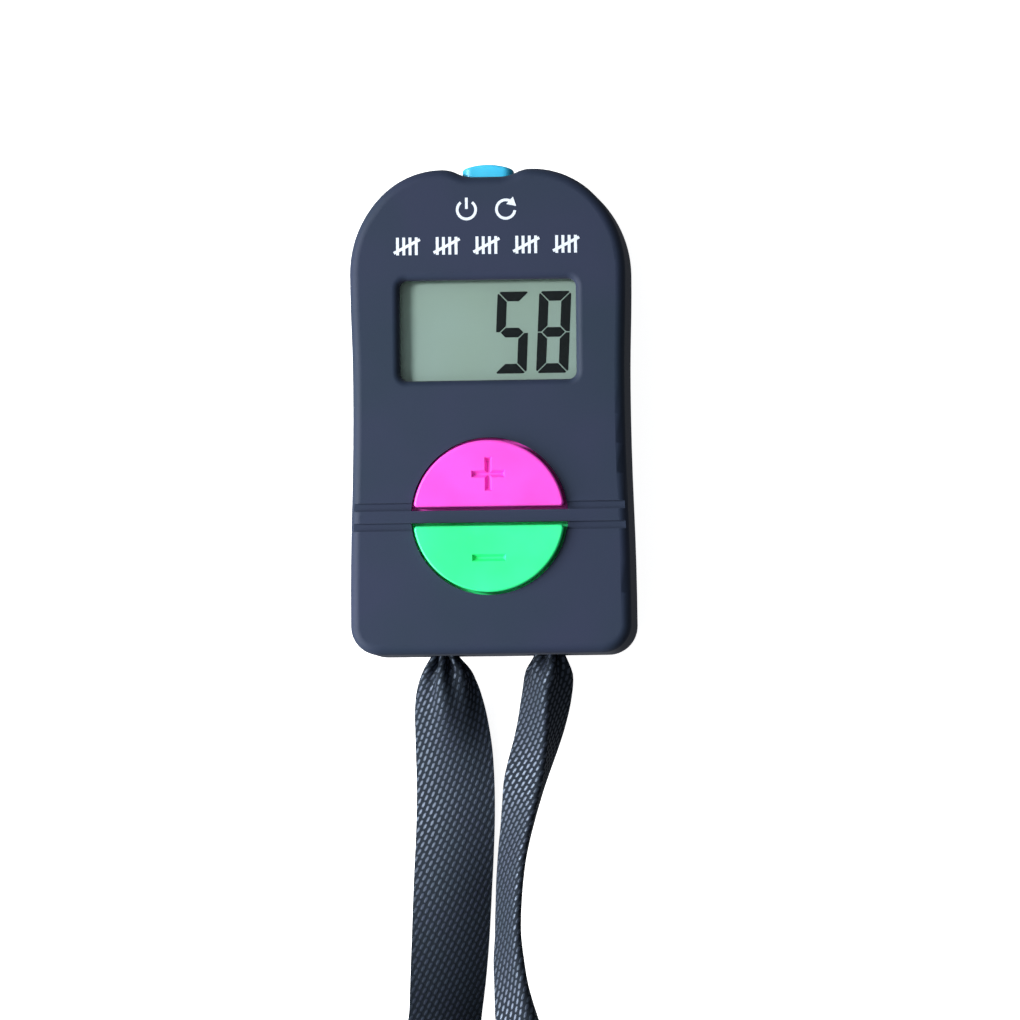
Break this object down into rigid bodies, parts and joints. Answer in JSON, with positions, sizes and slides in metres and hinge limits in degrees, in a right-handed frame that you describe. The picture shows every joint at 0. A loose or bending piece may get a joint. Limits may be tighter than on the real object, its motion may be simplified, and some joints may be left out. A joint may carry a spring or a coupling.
{
  "type": "hand tally counter",
  "caption": "Pocket digital tally counter with an LCD window, two half-round counting buttons, a reset button at the top and a ribbon lanyard.",
  "frame": {"origin": "middle of the case's back, on the surface it lies on, with length measured over the case and the reset button", "axes": "+X right across the face, +Y up the face towards the reset button, +Z out of the face"},
  "size_m": [0.046, 0.2825, 0.0135],
  "materials": {
    "case": "soft-touch matte",
    "screw_steel": "zinc plated",
    "clear_plastic": "clear, polished",
    "tape": "matte film",
    "zebra_rubber": "matte",
    "holder_plastic": "moulded",
    "board": "solder mask",
    "resin": "cured resin",
    "ceramic_chip": "matte",
    "pink_plastic": "satin moulded",
    "green_plastic": "satin moulded",
    "blue_plastic": "satin moulded",
    "cell_steel": "polished",
    "contact_metal": "nickel plated spring steel",
    "ribbon": "woven satin ribbon",
    "tie_rubber": "matte",
    "lcd_film": "satin polarising film",
    "lcd_glass": "polished",
    "lcd_back": "satin reflector",
    "switch_black": "moulded",
    "switch_metal": "plated"
  },
  "bodies": {
    "case": {"front_case": "case", "rear_case": "case", "case_screws": "screw_steel", "display_window": "clear_plastic", "window_tape": "tape", "zebra_strip": "zebra_rubber", "lcd_holder": "holder_plastic", "circuit_board": "board", "chip_blob": "resin", "chip_capacitors": "ceramic_chip", "board_screws": "screw_steel", "battery_cell": "cell_steel", "battery_positive_contact": "contact_metal", "battery_negative_contact": "contact_metal", "lanyard_knot_left": "ribbon", "lanyard_knot_right": "ribbon", "lanyard_strand_left": "ribbon", "lanyard_strand_right": "ribbon", "lanyard_hank": "ribbon", "hank_tie": "tie_rubber", "lcd_front_polariser": "lcd_film", "lcd_front_glass": "lcd_glass", "lcd_rear_glass": "lcd_glass", "lcd_reflector": "lcd_back", "plus_switch_base": "switch_black", "plus_switch_cover": "switch_metal", "plus_switch_dome": "switch_metal", "minus_switch_base": "switch_black", "minus_switch_cover": "switch_metal", "minus_switch_dome": "switch_metal", "reset_switch_base": "switch_black", "reset_switch_cover": "switch_metal", "reset_switch_dome": "switch_metal"},
    "plus_button_assembly": {"plus_button": "pink_plastic", "plus_switch_plunger": "switch_black"},
    "minus_button_assembly": {"minus_button": "green_plastic", "minus_switch_plunger": "switch_black"},
    "reset_button_assembly": {"reset_button": "blue_plastic", "reset_switch_plunger": "switch_black"},
    "battery_cover_assembly": {"battery_cover": "case", "battery_cover_screw": "screw_steel"}
  },
  "joints": [
    {"name": "plus_button_press", "type": "slide", "parent": "case", "child": "plus_button_assembly", "axis": [0, 0, -1], "range_m": [0, 0.0005], "stiffness_N_per_m": 60, "springref_m": -0.0005, "deforming": ["plus_switch_dome"]},
    {"name": "minus_button_press", "type": "slide", "parent": "case", "child": "minus_button_assembly", "axis": [0, 0, -1], "range_m": [0, 0.0005], "stiffness_N_per_m": 60, "springref_m": -0.0005, "deforming": ["minus_switch_dome"]},
    {"name": "reset_button_press", "type": "slide", "parent": "case", "child": "reset_button_assembly", "axis": [0, -1, 0], "range_m": [0, 0.0006], "stiffness_N_per_m": 60, "springref_m": -0.0005, "deforming": ["reset_switch_dome"]},
    {"name": "battery_cover_lift", "type": "slide", "parent": "case", "child": "battery_cover_assembly", "axis": [0, 0, -1], "range_m": [0, 0.008]}
  ]
}
